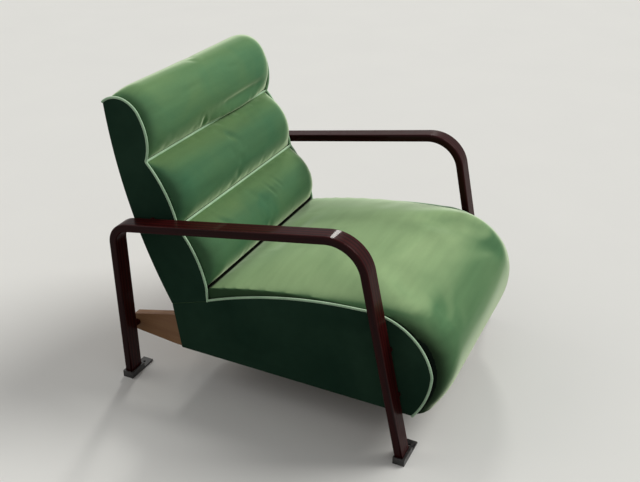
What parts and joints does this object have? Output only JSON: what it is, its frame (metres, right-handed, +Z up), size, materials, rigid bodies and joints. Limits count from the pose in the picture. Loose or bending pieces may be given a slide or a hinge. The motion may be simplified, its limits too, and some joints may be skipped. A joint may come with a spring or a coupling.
{
  "type": "railway saloon armchair",
  "caption": "Low lounge armchair from a railway coach saloon: velvet seat and rolled back hung between two bentwood strips that form the arms and legs, with shoes that screw to the floor.",
  "frame": {"origin": "on the floor, below the middle of the chair's bounding box", "axes": "+X towards the sitter's left, -Y forward out of the seat, +Z up"},
  "size_m": [0.693, 0.8612, 0.765],
  "materials": {
    "velvet": "short pile velvet with sheen",
    "lacquered_wood": "gloss lacquer",
    "frame_wood": "planed, unfinished",
    "plywood": "stained",
    "black_metal": "satin black"
  },
  "bodies": {
    "root": {"seat_pad": "velvet", "back_roll_top": "velvet", "back_roll_middle": "velvet", "back_roll_lower": "velvet", "seat_end_board_right": "velvet", "seat_end_board_left": "velvet", "back_end_board_right": "velvet", "back_end_board_left": "velvet", "arm_right": "lacquered_wood", "arm_left": "lacquered_wood", "arm_spacer_right": "lacquered_wood", "arm_spacer_left": "lacquered_wood", "leg_spacer_lower_right": "lacquered_wood", "leg_spacer_lower_left": "lacquered_wood", "leg_spacer_upper_right": "lacquered_wood", "leg_spacer_upper_left": "lacquered_wood", "tail_spacer_right": "lacquered_wood", "tail_spacer_left": "lacquered_wood", "seat_side_rail_right": "frame_wood", "seat_side_rail_left": "frame_wood", "back_post_right": "frame_wood", "back_post_left": "frame_wood", "seat_front_rail": "frame_wood", "seat_rear_rail": "frame_wood", "back_lower_rail": "frame_wood", "back_middle_rail": "frame_wood", "back_top_rail": "frame_wood", "seat_slat_1": "frame_wood", "seat_slat_2": "frame_wood", "seat_slat_3": "frame_wood", "seat_slat_4": "frame_wood", "seat_slat_5": "frame_wood", "seat_slat_6": "frame_wood", "back_panel": "plywood", "shoe_front_right": "black_metal", "shoe_front_left": "black_metal", "shoe_rear_right": "black_metal", "shoe_rear_left": "black_metal"}
  },
  "joints": []
}
